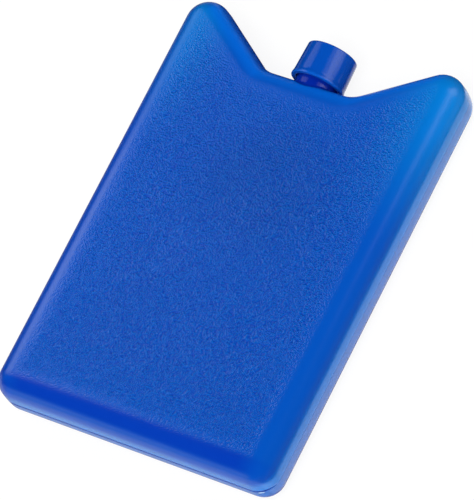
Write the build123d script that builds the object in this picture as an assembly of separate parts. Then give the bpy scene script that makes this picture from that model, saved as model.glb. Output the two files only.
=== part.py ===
from build123d import *
from math import asin, atan2, cos, hypot, radians, tan
import os

# Reusable ice pack: a flat blow-moulded container, filled and sealed, with a short neck in the
# notch between its two rounded ears, and a smooth cup-shaped cap pressed over that neck.
# Millimetres. The pack lies on its back: X runs across it, +Y towards the cap, and +Z out of the
# front face. The origin is on the resting plane, under the centre of the pack.

# Container: outline seen from the front
body_width = 100.0
body_length = 142.2  # from the bottom edge to the tips of the ears
bottom_corner_radius = 7.0
ear_radius = 7.5
notch_depth = 16.5  # from the tips of the ears down to the notch floor
notch_floor_width = 31.7
notch_corner_radius = 10.3  # where the notch floor turns up into its flanks

# Container: section through its rim
body_thickness = 19.0
edge_radius = 6.5  # each half's rounding from its face to its side
draft_angle = 2.0  # degrees, from the parting line towards each face
parting_crease = 0.3  # width and depth of the bevel on each side of the parting line

# Neck
neck_radius = 6.8
neck_root_flare = 0.8  # height and width of the cone where the neck leaves the notch floor
neck_bead_height = 0.35  # how far the snap bead stands out of the neck
neck_bead_width = 1.6
neck_bead_drop = 3.4  # from the neck's top to the middle of its bead

# Cap
cap_height = 11.5
cap_wall = 1.35  # thickness of the skirt at its rim
cap_roof = 1.4  # thickness of the closed end
cap_taper = 0.35  # how much smaller the radius is at the top than above the rim's flare
cap_rim_flare = 0.25  # how far the rim stands out of the skirt
cap_rim_height = 1.6  # from the rim up to where the flare starts
cap_rim_land = 0.5  # straight part of the rim below the flare
cap_top_rounding = 0.6
cap_lift = 1.8  # gap from the notch floor up to the cap's rim
bead_clearance = 0.1  # between the neck's bead and the cap's bore

# Sizes that follow from the ones above
half_width = body_width / 2
half_thickness = body_thickness / 2
bottom_y = -body_length / 2
ear_tip_y = body_length / 2
notch_floor_y = ear_tip_y - notch_depth
cap_rim_y = notch_floor_y + cap_lift
cap_top_y = cap_rim_y + cap_height
neck_top_y = cap_top_y - cap_roof
cap_bore_radius = neck_radius + neck_bead_height + bead_clearance
cap_skirt_radius = cap_bore_radius + cap_wall
cap_top_radius = cap_skirt_radius - cap_taper


def flank_angle():
    """Slope of the notch flank, the line from the notch floor's end that is tangent to the ear."""
    run = half_width - ear_radius - notch_floor_width / 2
    rise = notch_depth - ear_radius
    return atan2(rise, run) + asin(ear_radius / hypot(run, rise))


def outline():
    """Closed outline of the container at the parting line: two bottom corners, two ears, notch."""
    floor_end = notch_floor_width / 2
    apex_y = notch_floor_y + (half_width - floor_end) * tan(flank_angle())
    right = [(half_width, bottom_y), (half_width, apex_y), (floor_end, notch_floor_y)]
    left = [(-x, y) for x, y in reversed(right)]
    radii = [bottom_corner_radius, ear_radius, notch_corner_radius]
    return make_face(FilletPolyline(*right, *left, radius=radii + radii[::-1], close=True))


def mould_half():
    """One half of the container, from the parting plane at z = 0 up to its face."""
    half = extrude(outline(), half_thickness, taper=draft_angle)
    room = min(half_thickness - parting_crease, bottom_corner_radius, ear_radius)
    face_edges = half.edges().group_by(Axis.Z)[-1]
    half = fillet(face_edges, min(edge_radius, 0.95 * room))
    parting_edges = half.edges().group_by(Axis.Z)[0]
    return chamfer(parting_edges, parting_crease)


def turned(profile):
    """Solid of revolution about the neck's axis, from a half profile with radius along X."""
    return Pos(0, 0, half_thickness) * revolve(make_face(profile), Axis.Y)


def neck():
    """Neck with a conical root that starts inside the body, and a snap bead with two sloping sides."""
    start_y = notch_floor_y - edge_radius
    root_radius = neck_radius + neck_root_flare
    bead_y = neck_top_y - neck_bead_drop
    profile = Polyline(
        (0, start_y),
        (root_radius, start_y),
        (root_radius, notch_floor_y),
        (neck_radius, notch_floor_y + neck_root_flare),
        (neck_radius, bead_y - neck_bead_width / 2),
        (neck_radius + neck_bead_height, bead_y),
        (neck_radius, bead_y + neck_bead_width / 2),
        (neck_radius, neck_top_y),
        (0, neck_top_y),
        close=True,
    )
    return turned(profile)


def container():
    """Blow-moulded body: two mould halves that meet in a shallow crease, with the neck."""
    front = Pos(0, 0, half_thickness) * mould_half()
    back = mirror(front, Plane.XY.offset(half_thickness))
    return front + back + neck()


def cap():
    """Cup with a tapered skirt, a rounded top edge and a flare round its open rim."""
    rim_radius = cap_skirt_radius + cap_rim_flare
    round_start_y = cap_top_y - cap_top_rounding
    round_end_radius = cap_top_radius - cap_top_rounding
    round_mid = cap_top_rounding * (1 - cos(radians(45)))
    top_edge = ThreePointArc(
        (cap_top_radius, round_start_y),
        (cap_top_radius - round_mid, cap_top_y - round_mid),
        (round_end_radius, cap_top_y),
    )
    rest = Polyline(
        (round_end_radius, cap_top_y),
        (0, cap_top_y),
        (0, neck_top_y),
        (cap_bore_radius, neck_top_y),
        (cap_bore_radius, cap_rim_y),
        (rim_radius, cap_rim_y),
        (rim_radius, cap_rim_y + cap_rim_land),
        (cap_skirt_radius, cap_rim_y + cap_rim_height),
        (cap_top_radius, round_start_y),
    )
    return turned(top_edge + rest)


os.makedirs("parts", exist_ok=True)
export_step(container(), "parts/container.step")
export_step(cap(), "parts/cap.step")
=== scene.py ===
import math

import bmesh
import bpy
import numpy as np
from mathutils import Matrix, Vector


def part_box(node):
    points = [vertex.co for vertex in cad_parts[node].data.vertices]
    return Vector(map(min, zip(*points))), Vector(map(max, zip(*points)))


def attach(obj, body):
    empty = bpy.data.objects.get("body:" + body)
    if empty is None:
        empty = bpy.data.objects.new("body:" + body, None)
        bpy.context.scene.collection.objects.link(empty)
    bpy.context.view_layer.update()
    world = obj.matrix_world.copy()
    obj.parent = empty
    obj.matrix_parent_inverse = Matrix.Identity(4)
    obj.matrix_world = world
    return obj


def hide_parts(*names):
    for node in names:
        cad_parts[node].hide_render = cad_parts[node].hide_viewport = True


bl_info = {
    "name": "Ice Pack",
    "version": (1, 0, 0),
    "blender": (4, 5, 0),
    "location": "View3D > Sidebar > Ice Pack",
    "description": "Builds a blow-moulded reusable ice pack with its cap, and a small studio around it",
    "category": "Object",
}

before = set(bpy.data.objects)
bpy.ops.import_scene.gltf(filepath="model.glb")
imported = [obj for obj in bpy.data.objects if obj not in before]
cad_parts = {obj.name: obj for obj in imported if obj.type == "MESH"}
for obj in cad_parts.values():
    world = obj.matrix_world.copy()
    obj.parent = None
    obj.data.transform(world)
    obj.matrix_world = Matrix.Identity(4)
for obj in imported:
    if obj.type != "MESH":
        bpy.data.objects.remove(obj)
BODY_LOW, BODY_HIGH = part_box("container")
CAP_LOW, CAP_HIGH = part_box("cap")
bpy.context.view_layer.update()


def metres(name, description, default):
    """A size in metres."""
    return bpy.props.FloatProperty(
        name=name, description=description, default=default, min=0.0, precision=5, unit="LENGTH"
    )


def number(name, description, default, high=1.0):
    """A plain number from 0 up."""
    return bpy.props.FloatProperty(name=name, description=description, default=default, min=0.0, max=high)


def angle(name, description, degrees):
    """An angle, given in degrees."""
    return bpy.props.FloatProperty(
        name=name, description=description, default=math.radians(degrees), subtype="ANGLE"
    )


def paint(name, description, default):
    """A linear colour."""
    return bpy.props.FloatVectorProperty(
        name=name, description=description, default=default, size=3, min=0.0, max=1.0, subtype="COLOR"
    )


class ContainerSettings(bpy.types.PropertyGroup):
    """Sizes and finish of the blow-moulded body."""

    width: metres("Width", "Across the pack, at its parting line", BODY_HIGH.x - BODY_LOW.x)
    length: metres("Length", "From the bottom edge to the tips of the ears", BODY_HIGH.y - BODY_LOW.y)
    thickness: metres("Thickness", "From the back face to the front face", BODY_HIGH.z - BODY_LOW.z)
    bottom_radius: metres("Bottom corner radius", "Rounding of the two bottom corners", 0.007)
    ear_radius: metres("Ear radius", "Rounding of the tips of the ears", 0.0075)
    notch_depth: metres("Notch depth", "From the tips of the ears down to the notch floor", 0.0165)
    notch_width: metres("Notch width", "Width of the notch floor between its flanks", 0.0317)
    notch_radius: metres("Notch radius", "Rounding from the notch floor into its flanks", 0.0103)
    edge_radius: metres("Edge radius", "Rounding from each face to the side", 0.0065)
    draft: angle("Draft", "Lean of the side of each mould half", 2.0)
    seam_depth: metres("Seam depth", "Depth of the parting line on the sides", 0.00005)
    pinch_depth: metres("Pinch depth", "Depth of the pinched seam along the bottom edge", 0.0006)
    seam_width: metres("Seam width", "Half the width of the parting line", 0.00045)
    sink: metres("Sink", "How far the middle of each face has sunk while cooling", 0.00012)
    neck_radius: metres("Neck radius", "Radius of the filling neck", 0.0068)
    neck_root: metres("Neck root", "Fillet where the neck leaves the notch floor", 0.0008)
    bead_height: metres("Bead height", "How far the snap bead stands out of the neck", 0.00035)
    bead_width: metres("Bead width", "Width of the snap bead along the neck", 0.0016)
    bead_drop: metres("Bead drop", "From the neck's top to the middle of its bead", 0.0034)
    deep_colour: paint("Deep colour", "Middle of the faces, over the thickest gel", (0.0012, 0.068, 0.420))
    core_colour: paint("Core colour", "Around the middle of the upper face", (0.0012, 0.062, 0.380))
    edge_colour: paint("Edge colour", "Faces near the rim, a little paler", (0.0012, 0.075, 0.448))
    # Partly the ears' own paler tone, partly painted light: a glow of light shining through their thin wall.
    ear_tone_and_glow_colour: paint("Ear colour", "Ears, whose thin wall lets most light through", (0.0012, 0.205, 0.610))
    rim_colour: paint("Rim colour", "Outer part of the rounded rim", (0.0012, 0.106, 0.600))
    # Painted shade: this darker colour paints the shaded band on the rounding just above the bottom edge.
    bottom_shade_colour: paint("Fold colour", "Thicker rim along the bottom edge", (0.0012, 0.038, 0.395))
    # Painted light: the sides on the right and along the bottom are painted paler for the floor's light on
    # them.
    floor_lit_wall_colour: paint("Wall colour", "Sides at the parting line, lit by the floor", (0.002, 0.188, 0.670))
    # Painted light: the rounded rim along the notch is painted paler, as a glow of light shining through it.
    notch_glow_colour: paint("Thin rim colour", "Rounded rim along the notch, lit through", (0.0012, 0.150, 0.760))
    shade_colour: paint("Shade colour", "Neck under the cap, and edges in shade", (0.0012, 0.018, 0.300))
    # Painted highlight: a small white glint at the end of the pinched seam, painted into the colour.
    glint_colour: paint("Scar colour", "Whitened scar where the waste broke off", (0.36, 0.54, 0.80))
    grain_pitch: metres("Grain pitch", "Distance from one pebble of the grain to the next", 0.00085)
    grain_depth: metres("Grain depth", "Height of the pebbles", 0.00028)
    # Painted light and shade on the grain's relief: the pebbles' tops painted paler, their hollows darker.
    grain_shade_tint: paint("Grain tint", "How much paler the pebbles' tops are than the skin", (0.45, 0.42, 0.12))
    grain_border: metres("Grain border", "Width of the smooth border round the grain", 0.007)
    roughness: number("Roughness", "Roughness of the smooth skin", 0.25)


class CapSettings(bpy.types.PropertyGroup):
    """Sizes and finish of the cap."""

    rim_radius: metres("Rim radius", "Outside radius at the open rim", (CAP_HIGH.x - CAP_LOW.x) / 2)
    skirt_radius: metres("Skirt radius", "Outside radius above the rim's flare", 0.0086)
    top_radius: metres("Top radius", "Outside radius at the closed end", 0.00825)
    bore_radius: metres("Bore radius", "Inside radius of the skirt", 0.00725)
    roof: metres("Roof", "Thickness of the closed end", 0.0014)
    rim_height: metres("Rim height", "From the rim up to where the flare ends", 0.0016)
    rim_land: metres("Rim land", "Straight part of the rim below its flare", 0.0007)
    rounding: metres("Top rounding", "Rounding of the top edge", 0.0006)
    colour: paint("Colour", "Colour of the plastic", (0.0012, 0.067, 0.425))
    # Painted light: a glow of light through the thin rim; the same tint also mottles the cap at random.
    lip_glow_and_mottle_tint: paint("Rim tint", "Lighter colour of the thin rim", (0.004, 0.110, 0.560))
    roughness: number("Roughness", "Least roughness of the plastic", 0.12)


class StudioSettings(bpy.types.PropertyGroup):
    """Light, floor and camera."""

    lens: bpy.props.FloatProperty(
        name="Lens", description="Focal length on a 36 mm sensor", default=359.25, unit="CAMERA"
    )
    distance: metres("Distance", "From the camera to the point that it looks at", 1.5223)
    azimuth: angle("Azimuth", "Camera's direction from +X", -29.346)
    elevation: angle("Elevation", "Camera's height above the floor", 57.092)
    roll: angle("Roll", "Turn of the camera about its line of sight", 37.510)
    light: number("Light", "Factor on all lamps", 1.0, high=100.0)


SMOOTH_ANGLE = 38.0  # degrees; sharper edges stay crisp
MERGE_DISTANCE = 2e-6  # metres within which points of neighbouring grids are one
SLIVER = 1e-7  # metres below which an edge is dissolved
MIRROR = np.array([-1.0, 1.0])  # turns the right half of the outline into the left one


def grid_faces(rows, columns, closed=False):
    """Quads of a grid whose vertices are numbered row by row; closed joins the last column to the first."""
    i = np.arange(rows - 1)[:, None]
    j = np.arange(columns if closed else columns - 1)[None, :]
    k = (j + 1) % columns
    corners = [i * columns + j, i * columns + k, (i + 1) * columns + k, (i + 1) * columns + j]
    return np.stack(np.broadcast_arrays(*corners), -1).reshape(-1, 4)


def make_object(name, grids):
    """One mesh object from (points, closed) grids: shared edges merged, faces outwards, shaded smooth."""
    points, faces, count = [], [], 0
    for grid, closed in grids:
        rows, columns = grid.shape[:2]
        points.append(grid.reshape(-1, 3))
        faces.append(grid_faces(rows, columns, closed) + count)
        count += rows * columns
    mesh = bpy.data.meshes.new(name)
    mesh.from_pydata(np.concatenate(points).tolist(), [], np.concatenate(faces).tolist())
    shell = bmesh.new()
    shell.from_mesh(mesh)
    bmesh.ops.remove_doubles(shell, verts=shell.verts, dist=MERGE_DISTANCE)
    bmesh.ops.dissolve_degenerate(shell, edges=shell.edges, dist=SLIVER)
    bmesh.ops.recalc_face_normals(shell, faces=shell.faces)
    shell.to_mesh(mesh)
    shell.free()
    finish_shading(mesh)
    made = bpy.data.objects.new(name, mesh)
    bpy.context.scene.collection.objects.link(made)
    return made


def finish_shading(mesh):
    """Smooth shading, with edges sharper than the smooth angle kept crisp."""
    mesh.shade_smooth()
    mesh.set_sharp_from_angle(angle=math.radians(SMOOTH_ANGLE))


def arc(centre, radius, start, end, steps):
    """Points centre + radius (cos a, sin a), and (cos a, sin a), for a from start to end in degrees."""
    angle = np.radians(np.linspace(start, end, steps + 1))
    direction = np.stack([np.cos(angle), np.sin(angle)], -1)
    return np.asarray(centre) + radius * direction, direction


def run(start, end, normal, spacing):
    """Points (1 - t) start + t end of a straight run for the given t, with its constant normal."""
    t = np.asarray(spacing)[:, None]
    points = (1 - t) * np.asarray(start) + t * np.asarray(end)
    return points, np.broadcast_to(np.asarray(normal, float), points.shape)


def chain(*parts):
    """Runs and arcs, end to end, with each shared point kept once."""
    points = np.concatenate([p[:-1] for p, _ in parts[:-1]] + [parts[-1][0]])
    normals = np.concatenate([n[:-1] for _, n in parts[:-1]] + [parts[-1][1]])
    return points, normals


def smoothstep(x, low, high):
    """0 below low, 1 above high, and 3t^2 - 2t^3 between."""
    t = np.clip((x - low) / (high - low), 0.0, 1.0)
    return t * t * (3 - 2 * t)


class Outline:
    """Right half of the container's outline, in three stretches that share their ends."""

    ARC_STEPS = 14
    FLANK_STEPS = 24
    FLOOR_STEPS = 16
    SIDE_STEPS = 112
    FOOT_EVENNESS = 0.55  # share of even spacing along the bottom edge; the rest crowds to the corner

    def __init__(self, s):
        self.half_width = s.width / 2
        self.bottom = BODY_LOW.y
        self.top = BODY_LOW.y + s.length
        self.floor = self.top - s.notch_depth
        self.floor_end = s.notch_width / 2
        run_x = self.half_width - s.ear_radius - self.floor_end
        run_y = s.notch_depth - s.ear_radius
        self.flank = math.atan2(run_y, run_x) + math.asin(s.ear_radius / math.hypot(run_x, run_y))
        self.s = s

    def side(self):
        """Straight right side, from the bottom corner up to the ear."""
        s, t = self.s, np.linspace(0, 1, self.SIDE_STEPS + 1)
        foot = (self.half_width, self.bottom + s.bottom_radius)
        return run(foot, (self.half_width, self.top - s.ear_radius), (1, 0), t)

    def crown(self):
        """From the ear's outer side over its tip, down the flank and along the notch floor to the middle."""
        s, turn = self.s, math.degrees(self.flank)
        centre = self.half_width - s.ear_radius, self.top - s.ear_radius
        ear = arc(centre, s.ear_radius, 0, 90 + turn, self.ARC_STEPS)
        hollow_x = self.floor_end - s.notch_radius * math.tan(self.flank / 2)
        hollow = arc((hollow_x, self.floor + s.notch_radius), s.notch_radius, turn - 90, -90, self.ARC_STEPS)
        hollow = hollow[0], -hollow[1]
        flank = run(ear[0][-1], hollow[0][0], ear[1][-1], np.linspace(0, 1, self.FLANK_STEPS + 1))
        floor = run(hollow[0][-1], (0, self.floor), (0, 1), np.linspace(0, 1, self.FLOOR_STEPS + 1))
        return chain(ear, flank, hollow, floor)

    def foot(self):
        """From the right side round the bottom corner and along the bottom edge to the middle.

        The edge's points lie at t = e u + (1 - e) (1 - cos(90 u)), for u from 0 to 1 and evenness e."""
        s = self.s
        steps = self.FLANK_STEPS + self.ARC_STEPS + self.FLOOR_STEPS
        even = np.linspace(0, 1, steps + 1)
        t = self.FOOT_EVENNESS * even + (1 - self.FOOT_EVENNESS) * (1 - np.cos(even * math.pi / 2))
        centre = self.half_width - s.bottom_radius, self.bottom + s.bottom_radius
        corner = arc(centre, s.bottom_radius, 0, -90, self.ARC_STEPS)
        return chain(corner, run(corner[0][-1], (0, self.bottom), (0, -1), t))

    def ring(self):
        """Whole outline, counter-clockwise, as points and outward normals without a repeated end."""
        side, crown, foot = self.side(), self.crown(), self.foot()
        left = [(p[::-1] * MIRROR, n[::-1] * MIRROR) for p, n in (crown, side)]
        lower = foot[0] * MIRROR, foot[1] * MIRROR
        points, normals = chain(side, crown, *left, lower, (foot[0][::-1], foot[1][::-1]))
        return points[:-1], normals[:-1]

    def face(self, inset):
        """Sheet between the bottom and the top of the inset outline: (1 - v) bottom(u) + v top(u)."""
        edges = []
        for points, normals in (self.foot(), self.crown()):
            half = points - inset * normals
            edges.append(np.concatenate([half * MIRROR, half[-2::-1]]))
        v = np.linspace(0, 1, self.SIDE_STEPS + 1)[:, None, None]
        return (1 - v) * edges[0] + v * edges[1]

    def inset(self, x, y):
        """Distance inwards from the outline: the least of the distances to the sides, bottom and crown."""
        x = np.abs(x)
        flank_y = self.floor + (x - self.floor_end) * math.tan(self.flank)
        crown = np.maximum(self.floor - y, (flank_y - y) * math.cos(self.flank))
        return np.minimum(np.minimum(self.half_width - x, y - self.bottom), crown)


SEAM_ROWS = np.array([0, 0.1, 0.22, 0.36, 0.52, 0.7, 1.0, 1.5])  # heights, in seam widths
SIDE_ROWS = 4  # from there up the drafted side
EDGE_ROWS = 18  # round the edge
CORNER_ROOM = 0.0001  # radius that is left at the face sheet's corners


def rim_section(s):
    """Inset and height above the parting plane, from that plane up the drafted side and round to the face.

    Up the side the inset is height tan(draft); round the edge it is that of the arc's start plus
    r (1 - cos a), with height r sin a above the arc's centre."""
    centre = s.thickness / 2 - s.edge_radius
    low = s.seam_width * SEAM_ROWS
    side = np.concatenate([low, np.linspace(low[-1], centre, SIDE_ROWS + 1)[1:]])
    turn = np.linspace(0, math.pi / 2, EDGE_ROWS + 1)[1:]
    inset = np.concatenate([side, np.full(turn.shape, centre)]) * math.tan(s.draft)
    inset[len(side):] += s.edge_radius * (1 - np.cos(turn))
    height = np.concatenate([side, centre + s.edge_radius * np.sin(turn)])
    return inset, height


def face_hollow(outline, s, x, y):
    """How far a face lies below its plane: a shallow bowl, plus a few long low waves of the cooling skin.

    The bowl is a smooth step in the room to the rounding; the waves are sin(210 x + 1.3) sin(160 y + 0.4)
    + 0.6 sin(95 x - 130 y + 2), in metres and radians, and change the bowl by at most 56 percent."""
    bowl_border, wave_share = 0.022, 0.35
    bowl = smoothstep(outline.inset(x, y) - s.edge_radius, 0.0, bowl_border)
    waves = np.sin(x * 210 + 1.3) * np.sin(y * 160 + 0.4) + 0.6 * np.sin(x * 95 - y * 130 + 2.0)
    return bowl * s.sink * (1 + wave_share * waves)


def groove_depth(s, normals):
    """Depth of the parting line: fine on the sides, and pinched where the outline's normal points down."""
    bottom = smoothstep(-normals[:, 1], 0.35, 0.95)
    return s.seam_depth + (s.pinch_depth - s.seam_depth) * bottom


def container_half(outline, s, side):
    """Grids of one mould half: its rim, carried round the outline, and its face. Side is 1 for the front.

    Each rim point is the outline's point, moved inwards by the section's inset and by the groove, whose
    depth falls off as (1 - height / width) squared."""
    middle = BODY_LOW.z + s.thickness / 2
    points, normals = outline.ring()
    inset, height = rim_section(s)
    groove = np.clip(1 - height / s.seam_width, 0, 1)[:, None] ** 2 * groove_depth(s, normals)
    end = min(s.bottom_radius, s.ear_radius) - CORNER_ROOM
    inset, height = np.append(inset, end), np.append(height, height[-1])
    groove = np.concatenate([groove, np.zeros((1, len(points)))])
    flat = points - (inset[:, None] + groove)[..., None] * normals
    rim = np.dstack([flat, middle + side * np.broadcast_to(height[:, None], groove.shape)])
    face = outline.face(end)
    level = s.thickness / 2 - face_hollow(outline, s, face[..., 0], face[..., 1])
    return [(rim, True), (np.dstack([face, middle + side * level]), False)]


def edge_drop(s, height):
    """How far the container's side lies inside its outline at a height above the parting plane."""
    inset, level = rim_section(s)
    return np.interp(np.abs(height), level, inset)


NECK_STEPS = 128  # round the neck
FILLET_STEPS = 8  # along the fillet at its foot
BELOW_BEAD = 1.75  # where a ring lies on the wall below the bead's middle, in half bead widths
NECK_SUNK = 0.00003  # how far the fillet's foot lies inside the body, so that the union joins them
NECK_DEPTH = 0.004  # from the fillet's foot down to the closed base inside the body
NECK_BEVEL = 0.0003  # at the top edge


def neck_grid(outline, s, top_y):
    """Neck: circles about its axis, whose foot follows the rounded notch floor and turns up into the wall.

    Along the fillet, for a from 0 to 90 degrees, the radius is R + f (1 - sin a) and the height above the
    floor's surface is f (1 - cos a); the wall then runs over the snap bead to the closed top."""
    turn = np.linspace(0, 2 * math.pi, NECK_STEPS + 1)[:-1]
    rise = np.linspace(0, math.pi / 2, FILLET_STEPS + 1)
    radius = s.neck_radius + s.neck_root * (1 - np.sin(rise))
    lift = s.neck_root * (1 - np.cos(rise)) - NECK_SUNK
    foot = outline.floor - edge_drop(s, radius[:, None] * np.sin(turn)) + lift[:, None]
    bead_y, half_bead = top_y - s.bead_drop, s.bead_width / 2
    wall = np.array([
        (s.neck_radius, bead_y - BELOW_BEAD * half_bead),
        (s.neck_radius, bead_y - half_bead),
        (s.neck_radius + s.bead_height, bead_y),
        (s.neck_radius, bead_y + half_bead),
        (s.neck_radius, top_y - NECK_BEVEL),
        (s.neck_radius - NECK_BEVEL, top_y),
        (0, top_y),
    ])
    base = np.full((2, NECK_STEPS), foot[0].min() - NECK_DEPTH)
    y = np.concatenate([base, foot, np.repeat(wall[:, 1:], NECK_STEPS, axis=1)])
    r = np.concatenate([[0, radius[0]], radius, wall[:, 0]])[:, None]
    return np.dstack([r * np.cos(turn), y, BODY_LOW.z + s.thickness / 2 + r * np.sin(turn)])


def united(name, first, second):
    """Union of two closed mesh objects as one new object; the two are removed."""
    cut = first.modifiers.new("union", "BOOLEAN")
    cut.operation, cut.solver, cut.object = "UNION", "EXACT", second
    bpy.context.view_layer.update()
    shape = bpy.data.meshes.new_from_object(first.evaluated_get(bpy.context.evaluated_depsgraph_get()))
    shape.name = name
    for used in (first, second):
        bpy.data.objects.remove(used)
    made = bpy.data.objects.new(name, shape)
    bpy.context.scene.collection.objects.link(made)
    return made


def lathe(profile, steps, middle_z):
    """Surface of revolution about the neck's axis: (r cos a, y, middle_z + r sin a) for each (r, y)."""
    a = np.linspace(0, 2 * math.pi, steps + 1)[:-1]
    r, y = profile[:, :1], profile[:, 1:]
    return np.dstack([r * np.cos(a), np.broadcast_to(y, (len(profile), steps)), middle_z + r * np.sin(a)])


def rounded_profile(corners, steps=6):
    """Profile through (r, y, rounding) corners, each cut back by its rounding and bridged by the curve
    (1 - t)^2 start + 2 t (1 - t) corner + t^2 end."""
    corners = np.asarray(corners, float)
    stretches = [corners[:1, :2]]
    t = np.linspace(0, 1, steps + 1)[:, None]
    for before, at, after in zip(corners, corners[1:], corners[2:]):
        back, ahead = before[:2] - at[:2], after[:2] - at[:2]
        start = at[:2] + back / np.linalg.norm(back) * at[2]
        end = at[:2] + ahead / np.linalg.norm(ahead) * at[2]
        stretches.append((1 - t) ** 2 * start + 2 * t * (1 - t) * at[:2] + t ** 2 * end)
    stretches.append(corners[-1:, :2])
    return np.concatenate(stretches)


CAP_STEPS = 160  # round the cap


def cap_profile(s):
    """Cup: the inside from its axis to the bore and rim, the flared lip, the tapered skirt and the top."""
    rim, top = CAP_LOW.y, CAP_HIGH.y
    inside = top - s.roof
    bore_edge, rim_edge, land_edge, flare_edge = 0.0003, 0.00035, 0.0004, 0.0006  # roundings
    return rounded_profile([
        (0, inside, 0),
        (s.bore_radius, inside, bore_edge),
        (s.bore_radius, rim, bore_edge),
        (s.rim_radius, rim, rim_edge),
        (s.rim_radius, rim + s.rim_land, land_edge),
        (s.skirt_radius, rim + s.rim_height, flare_edge),
        (s.top_radius, top, s.rounding),
        (0, top, 0),
    ])


class Wire:
    """A node's output. Arithmetic on it adds Math nodes, so shader sums read as plain expressions."""

    def __init__(self, shader, socket):
        self.shader, self.socket = shader, socket

    def math(self, operation, *operands):
        """A Math node on the operands, in their order."""
        return self.shader.node("ShaderNodeMath", {"operation": operation}, dict(enumerate(operands)))

    def __add__(self, other):
        return self.math("ADD", self, other)

    def __sub__(self, other):
        return self.math("SUBTRACT", self, other)

    def __rsub__(self, other):
        return self.math("SUBTRACT", other, self)

    def __mul__(self, other):
        return self.math("MULTIPLY", self, other)

    def __truediv__(self, other):
        return self.math("DIVIDE", self, other)

    def __rtruediv__(self, other):
        return self.math("DIVIDE", other, self)

    def __pow__(self, other):
        return self.math("POWER", self, other)

    def __rpow__(self, other):
        return self.math("POWER", other, self)

    __radd__ = __add__
    __rmul__ = __mul__

    def least(self, other):
        return self.math("MINIMUM", self, other)

    def most(self, other):
        return self.math("MAXIMUM", self, other)

    def size(self):
        return self.math("ABSOLUTE", self)


class Shader:
    """A node tree under construction."""

    def __init__(self, owner):
        owner.use_nodes = True
        self.tree = owner.node_tree
        self.tree.nodes.clear()

    def node(self, kind, settings=None, sockets=None, output=0):
        """Adds a node: its settings first, then a value or a wire for each named or numbered socket."""
        made = self.tree.nodes.new(kind)
        for name, value in (settings or {}).items():
            setattr(made, name, value)
        for key, value in (sockets or {}).items():
            if isinstance(value, Wire):
                self.tree.links.new(value.socket, made.inputs[key])
            else:
                made.inputs[key].default_value = value
        return Wire(self, made.outputs[output]) if made.outputs else None

    def place(self):
        """Object coordinates as a vector and as x, y and z."""
        vector = self.node("ShaderNodeTexCoord", output="Object")
        axes = [self.node("ShaderNodeSeparateXYZ", sockets={0: vector}, output=k) for k in range(3)]
        return vector, axes

    def rise(self, value, ends):
        """0 at the first end, 1 at the second and smooth between."""
        sockets = {0: value, 1: ends[0], 2: ends[1], 3: 0.0, 4: 1.0}
        return self.node("ShaderNodeMapRange", {"interpolation_type": "SMOOTHSTEP"}, sockets)

    def fall(self, value, ends):
        """1 at the first end, 0 at the second and smooth between."""
        return 1 - self.rise(value, ends)

    def mix(self, factor, first, second, blend="MIX"):
        """Mix of two colours, each a wire or three numbers."""
        first, second = (c if isinstance(c, Wire) else (*c, 1) for c in (first, second))
        settings = {"data_type": "RGBA", "blend_type": blend}
        return self.node("ShaderNodeMix", settings, {0: factor, 6: first, 7: second}, output=2)

    def noise(self, vector, scale, detail=2.0):
        """Perlin noise from 0 to 1."""
        return self.node("ShaderNodeTexNoise", {}, {"Vector": vector, "Scale": scale, "Detail": detail})

    def drawn_out(self, vector, share):
        """Coordinates in which a pattern is longer along Y, by one over the share."""
        return self.node("ShaderNodeMapping", {}, {"Vector": vector, "Scale": (1, share, 1)})

    def bump(self, height, distance, **below):
        """Normal of heights from 0 to 1 that span the distance, on top of the Normal in below if given."""
        sockets = {"Strength": 1.0, "Distance": distance, "Height": height, **below}
        return self.node("ShaderNodeBump", {}, sockets)

    def polyethylene(self, colour, roughness, normal):
        """Smooth plastic surface as the material's output."""
        sockets = {"Base Color": colour, "Roughness": roughness, "IOR": 1.51, "Specular IOR Level": 0.38}
        shade = self.node("ShaderNodeBsdfPrincipled", {}, {**sockets, "Normal": normal})
        self.node("ShaderNodeOutputMaterial", {}, {"Surface": shade})


def inset_wire(shader, outline, x, y):
    """Distance inwards from the outline, in metres, as Outline.inset gives it."""
    across = x.size()
    flank_y = (across - outline.floor_end) * math.tan(outline.flank) + outline.floor
    crown = (outline.floor - y).most((flank_y - y) * math.cos(outline.flank))
    return (outline.half_width - across).least(y - outline.bottom).least(crown)


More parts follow.
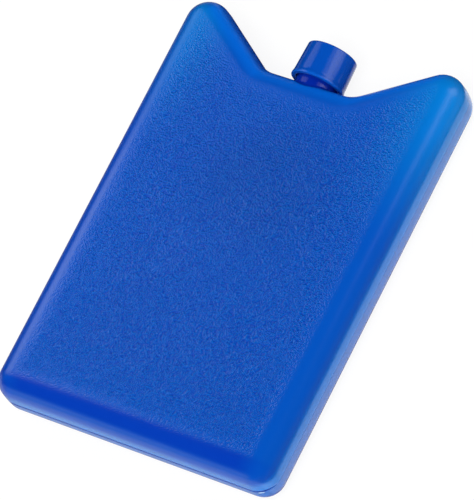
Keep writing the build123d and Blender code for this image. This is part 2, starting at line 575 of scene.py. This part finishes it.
class Fade:
    """Ends of the smooth steps that bound the container's tones, in metres where no other unit is given."""

    FACE = 0.470, 0.495  # height, as a share of the thickness
    GRAIN = -0.0022, 0.0045  # inset, from the grain's border
    GRAIN_LENGTH = 0.010, 0.070  # Y, over which the grain grows fainter
    EAR_LENGTH = 0.012, 0.074  # Y
    EAR_WIDTH = 0.022, 0.055  # X, either side
    BOTTOM = 0.0005, 0.0060  # above the bottom edge
    RIGHT = 0.0400, 0.0485  # X
    LEFT = -0.0460, -0.0400  # X
    NOTCH = 0.042, 0.054  # Y
    WALL = 0.0024, 0.0054  # height
    LOWER_HALF = -0.0004, 0.0  # height
    NEAR_RIM = 0.005, 0.031  # inset
    RIM = 0.0015, 0.0062  # inset
    CORE = 0.008, 0.030  # from the core's centre
    # Ends of the painted shade band on the bottom rounding.
    BOTTOM_SHADE_FOOT = 0.0012, 0.0032  # above the bottom edge
    BOTTOM_SHADE_TOP = 0.0058, 0.0085  # above the bottom edge
    BOTTOM_SHADE_ENDS = 0.038, 0.048  # X, either side
    # Ends of the painted glow along the notch's rim.
    NOTCH_GLOW = 0.0020, 0.0060  # inset
    NOTCH_GLOW_ENDS = 0.040, 0.046  # X, either side
    TURNED = 0.0006, 0.0020  # inset, along the notch
    TURNED_END = 0.0440, 0.0475  # X
    TURNED_LEFT = 0.0030, 0.0056  # inset, along the left side
    SEAM = 0.0002, 0.0007  # height
    # Painted highlight at the pinched seam's end: share of its ellipse over which it fades.
    GLINT = 0.5, 1.0  # share of the scar's ellipse
    NECK_FOOT = -0.0030, -0.0025  # Y, from the notch floor
    NECK = 0.0073, 0.0081  # from the neck's axis
    WORN = -0.012, 0.045  # X, leaning


CORE_CENTRE = 0.006, 0.018  # X and Y
# Centre and radii of the painted highlight at the pinched seam's end.
GLINT_CENTRE, GLINT_RADII = (0.0460, -0.0008), (0.0011, 0.0005)  # X and height


def container_masks(shader, outline, s, wander, x, y, z):
    """Masks from 0 to 1: products of smooth steps in the inset, the height and the place."""
    rise, fall = shader.rise, shader.fall
    inset = inset_wire(shader, outline, x, y)
    height = z - (BODY_LOW.z + s.thickness / 2)
    level, across, above = height.size(), x.size(), y - outline.bottom

    left, notch, below = fall(x, Fade.LEFT), rise(y, Fade.NOTCH), fall(above, Fade.BOTTOM)
    # Ears: partly their own paler tone, partly a painted glow of light through them.
    ear = rise(y + x * 0.08, Fade.EAR_LENGTH) * rise(across, Fade.EAR_WIDTH)
    face = rise(level, [s.thickness * share for share in Fade.FACE])
    grain = rise(inset + wander, [s.grain_border + end for end in Fade.GRAIN]) * face
    grain = grain * (1 - ear * 0.3) * (1.1 - rise(y, Fade.GRAIN_LENGTH) * 0.3)
    # Painted light from the floor, on the right side and along the bottom only.
    wall = fall(level, Fade.WALL) * rise(x, Fade.RIGHT).most(below)
    turned = fall(inset, Fade.TURNED) * notch * fall(x, Fade.TURNED_END)
    from_core = ((x - CORE_CENTRE[0]) ** 2 + (y - CORE_CENTRE[1]) ** 2) ** 0.5
    glint_x, glint_z = (x - GLINT_CENTRE[0]) / GLINT_RADII[0], (height - GLINT_CENTRE[1]) / GLINT_RADII[1]
    neck_foot = rise(y, [outline.floor + end for end in Fade.NECK_FOOT])
    return {
        "grain": grain,
        "near_rim": fall(inset, Fade.NEAR_RIM),
        "core": fall(from_core, Fade.CORE),
        "rim": fall(inset, Fade.RIM) * left.most(notch),
        # Painted shade band on the rounding above the bottom edge, fainter towards the corners.
        "bottom_shade": rise(above, Fade.BOTTOM_SHADE_FOOT) * fall(above, Fade.BOTTOM_SHADE_TOP)
                * (1 - rise(across, Fade.BOTTOM_SHADE_ENDS) * 0.8),
        "wall": wall,
        "ear": ear,
        # Painted shade on the lower half of those floor-lit sides.
        "lower": fall(height, Fade.LOWER_HALF) * wall,
        # Painted glow of light through the rim along the notch.
        "thin": fall(inset, Fade.NOTCH_GLOW) * notch * fall(across, Fade.NOTCH_GLOW_ENDS),
        "turned": turned.most(fall(inset, Fade.TURNED_LEFT) * left),
        "seam": fall(level, Fade.SEAM) * below,
        # Painted highlight at the end of the pinched seam.
        "glint": fall(glint_x ** 2 + glint_z ** 2, Fade.GLINT) * below,
        "neck": neck_foot * fall((x ** 2 + height ** 2) ** 0.5, Fade.NECK),
    }


def pebbles(shader, vector, pitch):
    """Leather grain, about 0 on average: 0.5 (0.55 - distance to the nearest cell) + 1.5 (noise - 0.5)."""
    scale = 1 / pitch
    fine = shader.noise(vector, scale * 1.65, 0.0)
    sockets = {"Vector": vector, "Scale": scale * 1.2, "Smoothness": 0.5}
    cells = shader.node("ShaderNodeTexVoronoi", {"feature": "SMOOTH_F1"}, sockets)
    return (0.55 - cells) * 0.5 + (fine - 0.5) * 1.5


def container_material(outline, s):
    """Satin polyethylene: leather grain inside a smooth border, paler where light comes through the wall."""
    material = bpy.data.materials.new("container_polyethylene")
    shader = Shader(material)
    vector, (x, y, z) = shader.place()
    cloud = shader.noise(vector, 55.0)
    mask = container_masks(shader, outline, s, (cloud - 0.5) * 0.002, x, y, z)
    streak = shader.noise(shader.drawn_out(vector, 0.35), 90.0, 3.0)

    colour = s.deep_colour
    for share, over in (
        (mask["near_rim"], s.edge_colour),
        (mask["core"], s.core_colour),
        (mask["rim"] * 0.8, s.rim_colour),
        # Painted shade on the bottom rounding.
        (mask["bottom_shade"], s.bottom_shade_colour),
        # Painted light from the floor on the right and bottom sides.
        (mask["wall"], s.floor_lit_wall_colour),
        # Ears' own paler tone with a painted glow of light through them.
        (mask["ear"], s.ear_tone_and_glow_colour),
        # Painted shade on the lower half of the floor-lit sides.
        (mask["lower"] * 0.3, s.shade_colour),
        # Painted glow along the notch's rim.
        (mask["thin"] * 0.8, s.notch_glow_colour),
        (mask["turned"] * 0.5, s.shade_colour),
        (mask["seam"] * 0.85, s.shade_colour),
        # Painted highlight at the pinched seam's end.
        (mask["glint"], s.glint_colour),
        (mask["neck"], s.shade_colour),
        ((streak - 0.5).size() * 0.18, s.edge_colour),
    ):
        colour = shader.mix(share, colour, over)

    grain = pebbles(shader, vector, s.grain_pitch) * mask["grain"]
    # The grain's pattern is the skin's own; its paler tops and darker hollows are painted light and shade of
    # the relief.
    hollows, tops = (tuple(1 + way * c for c in s.grain_shade_tint) for way in (-1, 1))
    colour = shader.mix(1.0, colour, shader.mix(grain + 0.5, hollows, tops), "MULTIPLY")
    skin_unevenness = 0.00003
    normal = shader.bump(grain, s.grain_depth)
    normal = shader.bump(shader.noise(vector, 160.0), skin_unevenness, Normal=normal)
    worn = shader.rise(x + y * 0.25, Fade.WORN)
    roughness = (s.roughness + mask["grain"] * (0.08 - worn * 0.07) + (cloud - 0.5) * 0.04
                 - mask["neck"] * 0.10 + mask["seam"] * 0.25)
    shader.polyethylene(colour, roughness, normal)
    return material


# Over this height the painted glow along the cap's thin rim fades out.
LIP = 0.0001, 0.0011  # Y, above the cap's rim, over which its lighter tone ends


def cap_material(s):
    """Smooth semi-gloss plastic, with faint draw lines along the skirt and a thin rim painted lighter, as a
    glow of light through it.
    """
    material = bpy.data.materials.new("cap_polyethylene")
    shader = Shader(material)
    vector, (_, y, _) = shader.place()
    lip = shader.fall(y, [CAP_LOW.y + end for end in LIP])
    cloud = shader.noise(vector, 140.0)
    # Painted glow along the thin rim.
    colour = shader.mix(lip * 0.75, s.colour, s.lip_glow_and_mottle_tint)
    # Random mottling in the same tint.
    colour = shader.mix((cloud - 0.5).size() * 0.25, colour, s.lip_glow_and_mottle_tint)
    draw_lines = shader.noise(shader.drawn_out(vector, 0.05), 900.0)
    line_depth = 0.000012
    normal = shader.bump(draw_lines * 0.6 + cloud * 0.4, line_depth)
    shader.polyethylene(colour, s.roughness + cloud * 0.06, normal)
    return material


class ICEPACK_OT_container(bpy.types.Operator):
    """Builds the blow-moulded body with its neck and grain"""

    bl_idname = "icepack.container"
    bl_label = "Container"

    def execute(self, context):
        s = context.scene.ice_pack_container
        outline = Outline(s)
        halves = container_half(outline, s, 1) + container_half(outline, s, -1)
        shell = make_object("shell", halves)
        neck_top = CAP_HIGH.y - context.scene.ice_pack_cap.roof
        neck = make_object("neck", [(neck_grid(outline, s, neck_top), True)])
        body = united("container_body", shell, neck)
        finish_shading(body.data)
        body.data.materials.clear()
        body.data.materials.append(container_material(outline, s))
        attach(body, "root")
        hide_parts("container")
        return {"FINISHED"}


class ICEPACK_OT_cap(bpy.types.Operator):
    """Builds the cup-shaped cap on the neck"""

    bl_idname = "icepack.cap"
    bl_label = "Cap"

    def execute(self, context):
        s = context.scene.ice_pack_cap
        middle = (CAP_LOW.z + CAP_HIGH.z) / 2
        cup = make_object("cap_cup", [(lathe(cap_profile(s), CAP_STEPS, middle), True)])
        cup.data.materials.append(cap_material(s))
        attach(cup, "root")
        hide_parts("cap")
        return {"FINISHED"}


def look(direction, up, roll=0.0):
    """Turn that points an object's -Z along the direction, with its +Y as near up as can be, then rolled."""
    back = -Vector(direction).normalized()
    right = Vector(up).cross(back).normalized()
    turn = Matrix((right, back.cross(right), back)).transposed()
    return turn @ Matrix.Rotation(roll, 3, "Z")


# Each lamp's name, its direction as degrees from +X and above the floor, its distance, width and height
# in metres, its radiance, and whether the pack's gloss shows it.
LAMPS = (
    ("key", -50, 52, 1.10, 0.80, 0.80, 3.2, False),
    ("top", -67, 67, 1.10, 0.70, 0.70, 4.3, False),
    ("behind", 95, 50, 1.10, 0.80, 0.80, 1.1, False),
    ("side", -72, 20, 0.80, 0.60, 0.40, 1.3, False),
    ("left_near", 181, 34, 0.20, 0.125, 0.115, 1.35, True),
    ("left_mid", 172, 28, 0.30, 0.16, 0.12, 0.5, True),
    ("left_high", 169, 45, 0.30, 0.12, 0.12, 1.0, True),
    ("left_far", 148, 35, 0.45, 0.15, 0.26, 0.9, True),
    ("back_near", 46, 22, 0.26, 0.11, 0.15, 1.4, True),
    ("back_far", 45, 35, 0.50, 0.24, 0.32, 0.8, True),
    ("front", -117, 7, 0.50, 0.42, 0.10, 0.9, True),
)
LAMP_TARGET = Vector((0, 0, 0.01))
CAMERA_TARGET = Vector((-0.00337, 0.00093, 0.00096))
FLOOR_REACH, FLOOR_CELLS = 3.0, 6  # metres from the middle, and squares along a side


def toward(azimuth, elevation):
    """Unit vector in a direction given by its angle from +X and its height, both in radians."""
    level = math.cos(elevation)
    return Vector((math.cos(azimuth) * level, math.sin(azimuth) * level, math.sin(elevation)))


def softbox(name, azimuth, elevation, distance, width, height, radiance, mirrored):
    """Rectangular lamp that faces the pack. Where it isn't mirrored it lights the pack without gloss, and
    its sampling from the surface is off too, so that no gloss leaks in."""
    lamp = bpy.data.lights.new(name, "AREA")
    lamp.shape = "RECTANGLE"
    lamp.size, lamp.size_y = width, height
    lamp.energy = radiance * width * height * math.pi * bpy.context.scene.ice_pack_studio.light
    lamp.cycles.use_multiple_importance_sampling = mirrored
    made = bpy.data.objects.new(name, lamp)
    made.visible_glossy = mirrored
    way = toward(math.radians(azimuth), math.radians(elevation))
    turn = look(-way, (0, 0, 1)).to_4x4()
    made.matrix_world = Matrix.Translation(LAMP_TARGET + way * distance) @ turn
    bpy.context.scene.collection.objects.link(made)


class FloorFade:
    """Ends of the smooth steps that bound the bright floor that gloss shows, in metres."""

    EAR_NEAR = 0.0065, 0.0075  # from the right ear's centre
    EAR_FAR = 0.0125, 0.0185  # from the right ear's centre
    RIGHT = 0.0425, 0.0460  # X
    CAP_WIDTH = 0.011, 0.014  # X, either side
    CAP_NEAR = 0.055, 0.056  # Y
    CAP_FAR = 0.076, 0.084  # Y
    FRONT_RIGHT = 0.052, 0.060  # X
    FRONT_FAR = -0.22, -0.15  # Y
    FRONT_NEAR = -0.071, -0.060  # Y
    FRONT_DIM = -0.085, -0.074  # Y
    LEFT_NEAR = -0.052, -0.050  # X
    LEFT_FAR = -0.13, -0.09  # X


EAR_CENTRE = 0.0425, 0.0636  # X and Y


def floor_in_gloss(shader, x, y):
    """Brightness of the floor in the pack's gloss: the brightest of four patches, and dark beyond them."""
    rise, fall = shader.rise, shader.fall
    from_ear = ((x - EAR_CENTRE[0]) ** 2 + (y - EAR_CENTRE[1]).most(0.0) ** 2) ** 0.5
    beside = rise(from_ear, FloorFade.EAR_NEAR) * fall(from_ear, FloorFade.EAR_FAR) * rise(x, FloorFade.RIGHT)
    under_cap = (fall(x.size(), FloorFade.CAP_WIDTH) * rise(y, FloorFade.CAP_NEAR)
                 * fall(y, FloorFade.CAP_FAR))
    front = (fall(x, FloorFade.FRONT_RIGHT) * rise(y, FloorFade.FRONT_FAR) * fall(y, FloorFade.FRONT_NEAR)
             * (1.15 - rise(y, FloorFade.FRONT_DIM) * 0.4))
    left = fall(x, FloorFade.LEFT_NEAR) * rise(x, FloorFade.LEFT_FAR)
    return (beside * 1.5).most(front).most(under_cap * 0.9).most(left * 0.25)


def floor_material():
    """Pale floor that the camera sees as near white, while it still takes the shadow.

    The camera's share of plain white hides the rest of the floor's tone, and gloss sees only patches."""
    camera_share, white_strength = 0.87, 1.03
    material = bpy.data.materials.new("pale_floor")
    shader = Shader(material)
    _, (x, y, _) = shader.place()
    lit = shader.node("ShaderNodeBsdfDiffuse", {}, {"Color": (0.85, 0.85, 0.85, 1)})
    white = shader.node("ShaderNodeEmission", {}, {"Color": (1, 1, 1, 1), "Strength": white_strength})
    mirrored = shader.node("ShaderNodeEmission", {}, {"Color": floor_in_gloss(shader, x, y)})
    seen = shader.node("ShaderNodeLightPath", output="Is Camera Ray")
    glossy = shader.node("ShaderNodeLightPath", output="Is Glossy Ray")
    both = shader.node("ShaderNodeMixShader", {}, {0: seen * camera_share, 1: lit, 2: white})
    both = shader.node("ShaderNodeMixShader", {}, {0: glossy, 1: both, 2: mirrored})
    shader.node("ShaderNodeOutputMaterial", {}, {"Surface": both})
    return material


def world_light():
    """White backdrop that only the camera sees: the lamps light the pack, and gloss sees the floor."""
    world = bpy.data.worlds.new("studio")
    bpy.context.scene.world = world
    shader = Shader(world)
    seen = shader.node("ShaderNodeLightPath", output="Is Camera Ray")
    back = shader.node("ShaderNodeBackground", {}, {"Color": (1, 1, 1, 1), "Strength": seen})
    shader.node("ShaderNodeOutputWorld", {}, {"Surface": back})


def photo_camera(s):
    """Camera at the photo's viewing angle, turned about its line of sight as the photo is."""
    lens = bpy.data.cameras.new("camera")
    lens.sensor_width, lens.lens = 36.0, s.lens
    lens.clip_start, lens.clip_end = 0.05, 50.0
    camera = bpy.data.objects.new("camera", lens)
    way = toward(s.azimuth, s.elevation)
    turn = look(-way, (0, 0, 1), -s.roll).to_4x4()
    camera.matrix_world = Matrix.Translation(CAMERA_TARGET + way * s.distance) @ turn
    bpy.context.scene.collection.objects.link(camera)
    return camera


class ICEPACK_OT_studio(bpy.types.Operator):
    """Sets the pale floor, soft lamps and camera around the pack"""

    bl_idname = "icepack.studio"
    bl_label = "Studio"

    def execute(self, context):
        context.scene.view_settings.view_transform = "Standard"
        reach = np.linspace(-FLOOR_REACH, FLOOR_REACH, FLOOR_CELLS + 1)
        x, y = np.meshgrid(reach, reach)
        floor = make_object("floor", [(np.dstack([x, y, np.zeros_like(x)]), False)])
        if floor.data.polygons[0].normal.z < 0:
            floor.data.flip_normals()
        floor.data.materials.append(floor_material())
        world_light()
        for lamp in LAMPS:
            softbox(*lamp)
        context.scene.camera = photo_camera(context.scene.ice_pack_studio)
        return {"FINISHED"}


class ICEPACK_PT_panel(bpy.types.Panel):
    """Lists the pieces, their sizes and their colours"""

    bl_idname = "ICEPACK_PT_panel"
    bl_label = "Ice Pack"
    bl_space_type = "VIEW_3D"
    bl_region_type = "UI"
    bl_category = "Ice Pack"

    def draw(self, context):
        for operator, group in (
            ("icepack.container", context.scene.ice_pack_container),
            ("icepack.cap", context.scene.ice_pack_cap),
            ("icepack.studio", context.scene.ice_pack_studio),
        ):
            box = self.layout.box()
            box.operator(operator)
            for name in group.__annotations__:
                box.prop(group, name)


SETTINGS = {
    "ice_pack_container": ContainerSettings,
    "ice_pack_cap": CapSettings,
    "ice_pack_studio": StudioSettings,
}
CLASSES = (*SETTINGS.values(), ICEPACK_OT_container, ICEPACK_OT_cap, ICEPACK_OT_studio, ICEPACK_PT_panel)


def register():
    """Registers the classes and hangs their settings on the scene."""
    for made in CLASSES:
        bpy.utils.register_class(made)
    for name, group in SETTINGS.items():
        setattr(bpy.types.Scene, name, bpy.props.PointerProperty(type=group))


def unregister():
    """Takes the settings off the scene and the classes out again."""
    for name in SETTINGS:
        delattr(bpy.types.Scene, name)
    for made in reversed(CLASSES):
        bpy.utils.unregister_class(made)


def main():
    """Builds the pieces and the studio in order."""
    register()
    bpy.ops.icepack.container()
    bpy.ops.icepack.cap()
    bpy.ops.icepack.studio()
    bpy.context.view_layer.update()


if __name__ == "__main__":
    main()
